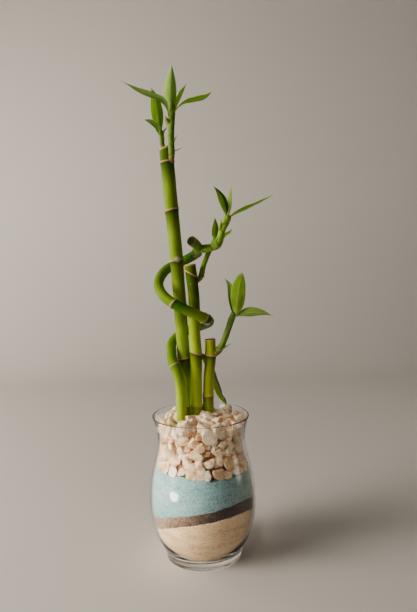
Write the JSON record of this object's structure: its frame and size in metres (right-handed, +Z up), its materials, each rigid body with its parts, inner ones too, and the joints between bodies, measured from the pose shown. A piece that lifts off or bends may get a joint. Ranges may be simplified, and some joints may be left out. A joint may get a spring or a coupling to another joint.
{
  "type": "potted lucky bamboo",
  "caption": "Lucky bamboo canes, one grown in a curl, with leafy shoots, standing in gravel over layers of coloured sand in a small glass vase.",
  "frame": {"origin": "centre of the vase's foot, on the surface it stands on", "axes": "+Z up along the vase's axis, +X to the viewer's right, +Y away from the viewer"},
  "size_m": [0.1442, 0.1098, 0.4915],
  "materials": {
    "vase_glass": "clear, polished",
    "cream_sand": "loose cream sand",
    "brown_sand": "loose brown sand",
    "blue_sand": "loose pale blue sand",
    "gravel": "crushed cream stone",
    "cane": "smooth green skin, satin",
    "shoot": "smooth green, satin",
    "leaf": "green leaf, satin"
  },
  "bodies": {
    "root": {"vase": "vase_glass", "sand_cream": "cream_sand", "sand_brown": "brown_sand", "sand_blue": "blue_sand", "gravel": "gravel", "cane_tall": "cane", "cane_middle": "cane", "cane_short": "cane", "cane_curly": "cane", "shoot_tall_main": "shoot", "shoot_tall_side": "shoot", "shoot_curly": "shoot", "shoot_middle": "shoot", "shoot_short": "shoot", "leaf_tall_upright": "leaf", "leaf_tall_left": "leaf", "leaf_tall_inner_right": "leaf", "leaf_tall_outer_right": "leaf", "leaf_side_upright": "leaf", "leaf_side_left": "leaf", "leaf_side_right": "leaf", "leaf_curly_left": "leaf", "leaf_curly_upright": "leaf", "leaf_curly_right": "leaf", "leaf_curly_low": "leaf", "leaf_middle_tip": "leaf", "leaf_short_upright": "leaf", "leaf_short_left": "leaf", "leaf_short_right": "leaf", "leaf_hanging": "leaf"}
  },
  "joints": []
}
